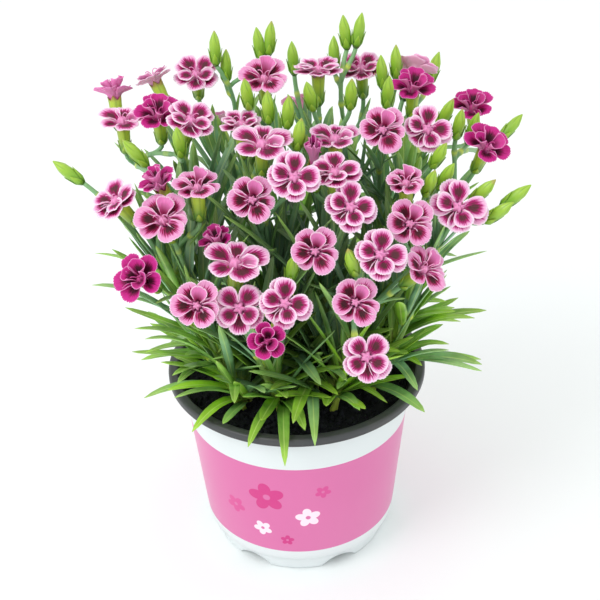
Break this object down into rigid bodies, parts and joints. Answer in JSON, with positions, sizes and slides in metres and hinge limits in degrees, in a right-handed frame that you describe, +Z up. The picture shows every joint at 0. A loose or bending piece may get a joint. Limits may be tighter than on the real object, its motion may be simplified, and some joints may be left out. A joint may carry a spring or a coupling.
{
  "type": "potted dianthus plant",
  "caption": "Potted dianthus in flower: layered, toothed pink blooms and pointed buds on branching leafy stems, in a round plastic pot with a rolled rim.",
  "frame": {"origin": "centre of the pot's flat base, on the surface that it stands on", "axes": "+Z up along the pot's axis, -Y towards the plant's front, +X to the right seen from the front"},
  "size_m": [0.2272, 0.1937, 0.2614],
  "materials": {
    "pot_plastic": "thermoformed pot, white outside with a printed pink band, dark grey rim and inside",
    "potting_soil": "moist dark peat, crumbly",
    "leaf_green": "living leaf and stem, waxy blue-green to lime",
    "petal_pale_rimmed": "petal with a near-white toothed rim and a maroon eye, soft sheen",
    "petal_pink": "petal with a pink toothed rim and a dark eye, soft sheen",
    "petal_magenta": "young petal in deep magenta, soft sheen"
  },
  "bodies": {
    "root": {"pot": "pot_plastic", "potting_soil": "potting_soil", "bloom_01": "petal_pale_rimmed", "bloom_02": "petal_magenta", "bloom_03": "petal_pale_rimmed", "bloom_04": "petal_magenta", "bloom_05": "petal_pale_rimmed", "bloom_06": "petal_pale_rimmed", "bloom_07": "petal_magenta", "bloom_08": "petal_pink", "bloom_09": "petal_pink", "bloom_10": "petal_magenta", "bloom_11": "petal_pink", "bloom_12": "petal_pale_rimmed", "bloom_13": "petal_pink", "bloom_14": "petal_pale_rimmed", "bloom_15": "petal_pale_rimmed", "bloom_16": "petal_pink", "bloom_17": "petal_pale_rimmed", "bloom_18": "petal_pale_rimmed", "bloom_19": "petal_magenta", "bloom_20": "petal_pale_rimmed", "bloom_21": "petal_pale_rimmed", "bloom_22": "petal_magenta", "bloom_23": "petal_pale_rimmed", "bloom_24": "petal_pale_rimmed", "bloom_25": "petal_pale_rimmed", "bloom_26": "petal_pale_rimmed", "bloom_27": "petal_magenta", "bloom_28": "petal_pale_rimmed", "bloom_29": "petal_pink", "bloom_30": "petal_pale_rimmed", "bloom_31": "petal_pink", "bloom_32": "petal_pale_rimmed", "bloom_33": "petal_pink", "bloom_34": "petal_magenta", "bloom_35": "petal_pale_rimmed", "bloom_36": "petal_pink", "bloom_37": "petal_magenta", "bloom_38": "petal_pale_rimmed", "bloom_39": "petal_magenta", "bloom_40": "petal_pink", "bloom_41": "petal_pale_rimmed", "bloom_42": "petal_pink", "bloom_43": "petal_pale_rimmed", "bloom_44": "petal_pink", "bloom_45": "petal_pale_rimmed", "leafy_stem_far_left": "leaf_green", "leafy_stem_left": "leaf_green", "leafy_stem_low_left": "leaf_green", "leafy_stem_top_left": "leaf_green", "leafy_stem_middle_left": "leaf_green", "leafy_stem_front_left": "leaf_green", "leafy_stem_top_middle": "leaf_green", "leafy_stem_middle_right": "leaf_green", "leafy_stem_front_right": "leaf_green", "leafy_stem_top_right": "leaf_green", "leafy_stem_right": "leaf_green", "leafy_stem_low_right": "leaf_green", "leafy_stem_back": "leaf_green"}
  },
  "joints": []
}
